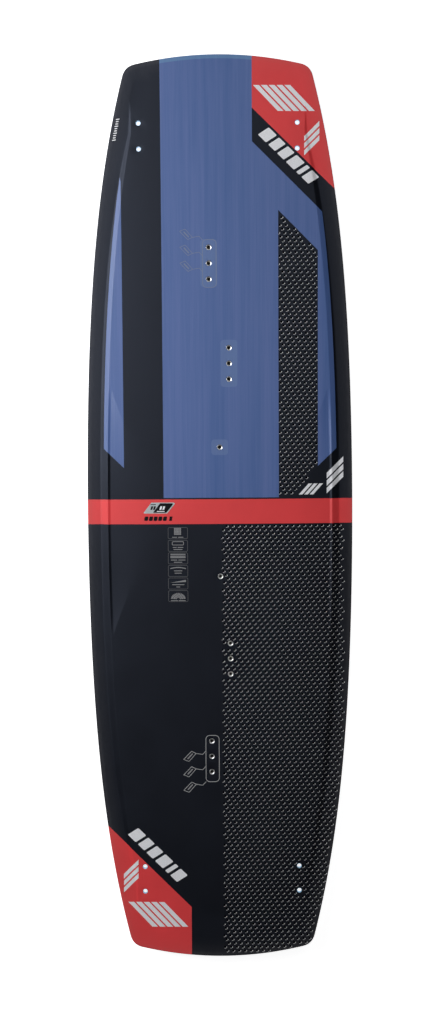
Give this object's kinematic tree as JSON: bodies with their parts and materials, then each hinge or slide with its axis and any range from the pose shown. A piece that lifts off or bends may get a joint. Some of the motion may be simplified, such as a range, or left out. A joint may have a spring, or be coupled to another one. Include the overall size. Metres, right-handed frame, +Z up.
{
  "type": "kiteboard",
  "caption": "Bare twin-tip kiteboard deck with printed skins over a wood core, bevelled edges, rocker, threaded inserts for foot pads and a grab handle, and fin-bolt holes.",
  "frame": {"origin": "on the ground under the board's middle", "axes": "+X across the board to the right seen from above with +Y away, +Y along the board towards end a, +Z up out of the deck"},
  "size_m": [0.41, 1.38, 0.0475],
  "materials": {
    "printed_skin": "semi-gloss printed film on glass laminate",
    "base_skin": "gloss printed sliding base on glass laminate",
    "carbon": "unidirectional carbon and epoxy",
    "core_wood": "planed paulownia",
    "edge_rail": "satin ABS",
    "insert_block": "moulded plastic",
    "insert_steel": "turned stainless steel",
    "fin_plug": "moulded ABS",
    "label_foil": "printed foil"
  },
  "bodies": {
    "root": {"top_skin": "printed_skin", "bottom_skin": "base_skin", "carbon_ribbon_top_left": "carbon", "carbon_ribbon_top_right": "carbon", "carbon_ribbon_bottom_left": "carbon", "carbon_ribbon_bottom_right": "carbon", "core_strip_1": "core_wood", "core_strip_2": "core_wood", "core_strip_3": "core_wood", "core_strip_4": "core_wood", "core_strip_5": "core_wood", "core_strip_6": "core_wood", "core_strip_7": "core_wood", "core_strip_8": "core_wood", "core_strip_9": "core_wood", "side_rail_left": "edge_rail", "side_rail_right": "edge_rail", "tip_rail_a": "edge_rail", "tip_rail_b": "edge_rail", "insert_block_outer_a": "insert_block", "insert_block_inner_a": "insert_block", "insert_block_handle_a": "insert_block", "insert_block_outer_b": "insert_block", "insert_block_inner_b": "insert_block", "insert_block_handle_b": "insert_block", "insert_outer_a_1": "insert_steel", "insert_outer_a_2": "insert_steel", "insert_outer_a_3": "insert_steel", "insert_inner_a_1": "insert_steel", "insert_inner_a_2": "insert_steel", "insert_inner_a_3": "insert_steel", "insert_handle_a": "insert_steel", "insert_outer_b_1": "insert_steel", "insert_outer_b_2": "insert_steel", "insert_outer_b_3": "insert_steel", "insert_inner_b_1": "insert_steel", "insert_inner_b_2": "insert_steel", "insert_inner_b_3": "insert_steel", "insert_handle_b": "insert_steel", "fin_plug_left_a": "fin_plug", "fin_plug_right_a": "fin_plug", "fin_plug_left_b": "fin_plug", "fin_plug_right_b": "fin_plug", "size_label": "label_foil"}
  },
  "joints": []
}
